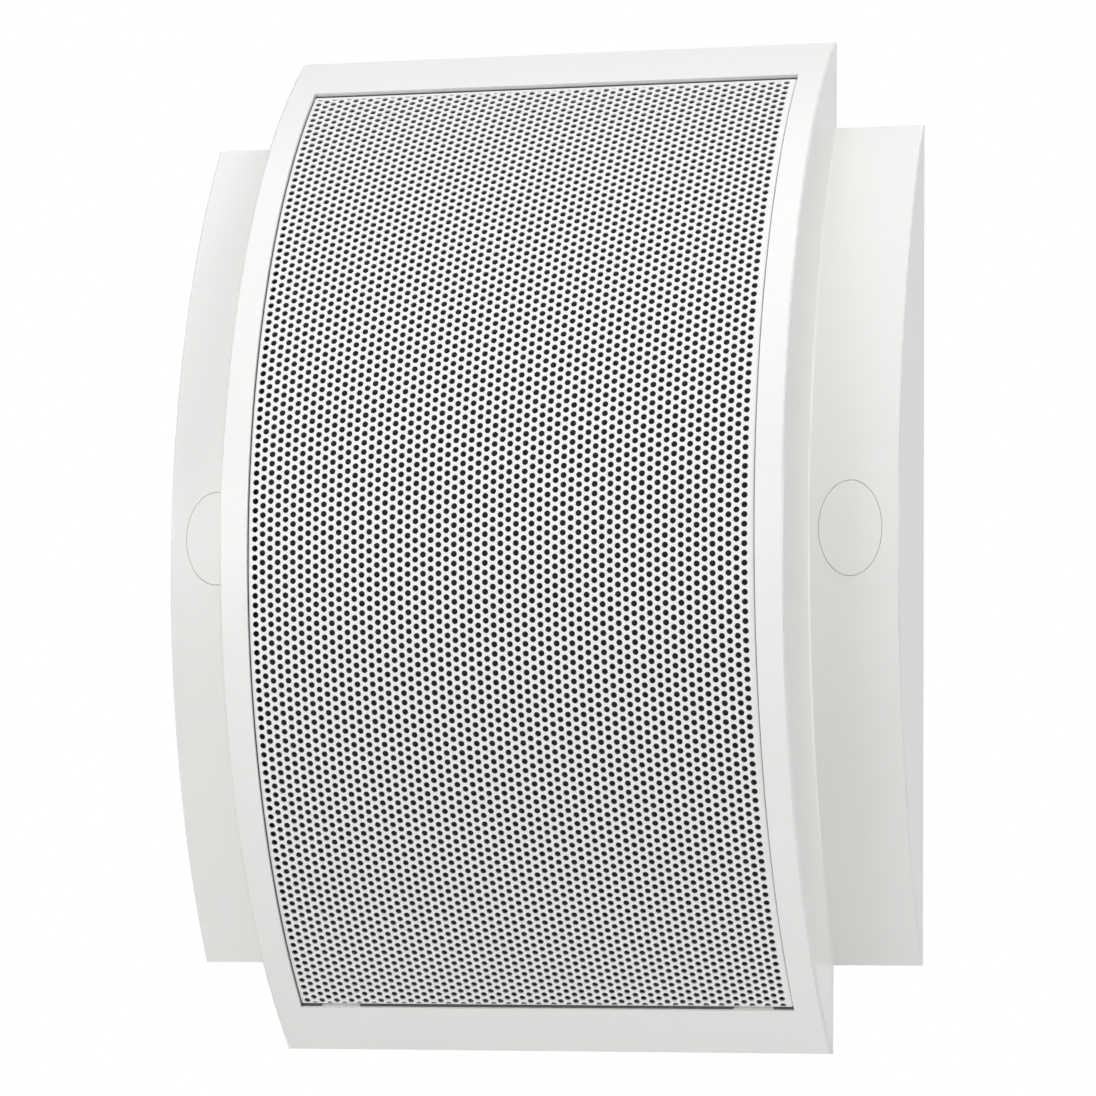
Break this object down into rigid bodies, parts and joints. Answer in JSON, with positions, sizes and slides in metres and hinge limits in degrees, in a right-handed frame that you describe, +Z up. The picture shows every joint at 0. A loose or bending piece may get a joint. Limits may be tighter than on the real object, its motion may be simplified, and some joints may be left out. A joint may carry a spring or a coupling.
{
  "type": "surface-mount loudspeaker",
  "caption": "White surface-mount wall or ceiling loudspeaker with an arched perforated grille, two low arched side wings and oval screw caps.",
  "frame": {"origin": "centre of the back, on the wall plane, level with the two wall screws", "axes": "+Z up along the height, +X to the right seen from the front, +Y into the wall, the grille faces -Y"},
  "size_m": [0.1992, 0.07, 0.273],
  "materials": {
    "white_moulding": "satin",
    "white_sheet": "satin",
    "black_cloth": "matte",
    "black_moulding": "matte",
    "zinc_steel": "satin",
    "ferrite": "matte",
    "paper": "matte",
    "foam": "matte",
    "copper_winding": "satin",
    "resin_board": "satin",
    "brass": "satin",
    "lamination": "satin",
    "wire_cover": "satin"
  },
  "bodies": {
    "enclosure": {"front_housing": "white_moulding", "grille": "white_sheet", "grille_cloth": "black_cloth", "screw_cap_left": "white_moulding", "screw_cap_right": "white_moulding", "rear_panel": "black_moulding", "panel_screws": "zinc_steel", "driver_gasket": "foam", "driver_basket": "zinc_steel", "surround": "foam", "spider": "black_cloth", "top_plate": "zinc_steel", "magnet": "ferrite", "yoke": "zinc_steel", "driver_screws": "zinc_steel", "tag_strip": "resin_board", "solder_tags": "brass", "transformer_core": "lamination", "transformer_coil": "copper_winding", "transformer_screws": "zinc_steel", "terminal_block": "black_moulding", "terminal_clamps": "brass", "terminal_screws": "zinc_steel", "driver_leads": "wire_cover", "line_leads": "wire_cover"},
    "cone_assembly": {"cone": "paper", "whizzer_cone": "paper", "dust_cap": "paper", "voice_coil": "copper_winding"}
  },
  "joints": [
    {"name": "cone_travel", "type": "slide", "parent": "enclosure", "child": "cone_assembly", "axis": [0, -1, 0], "range_m": [-0.003, 0.003], "stiffness_N_per_m": 1600, "deforming": ["surround", "spider"]}
  ]
}
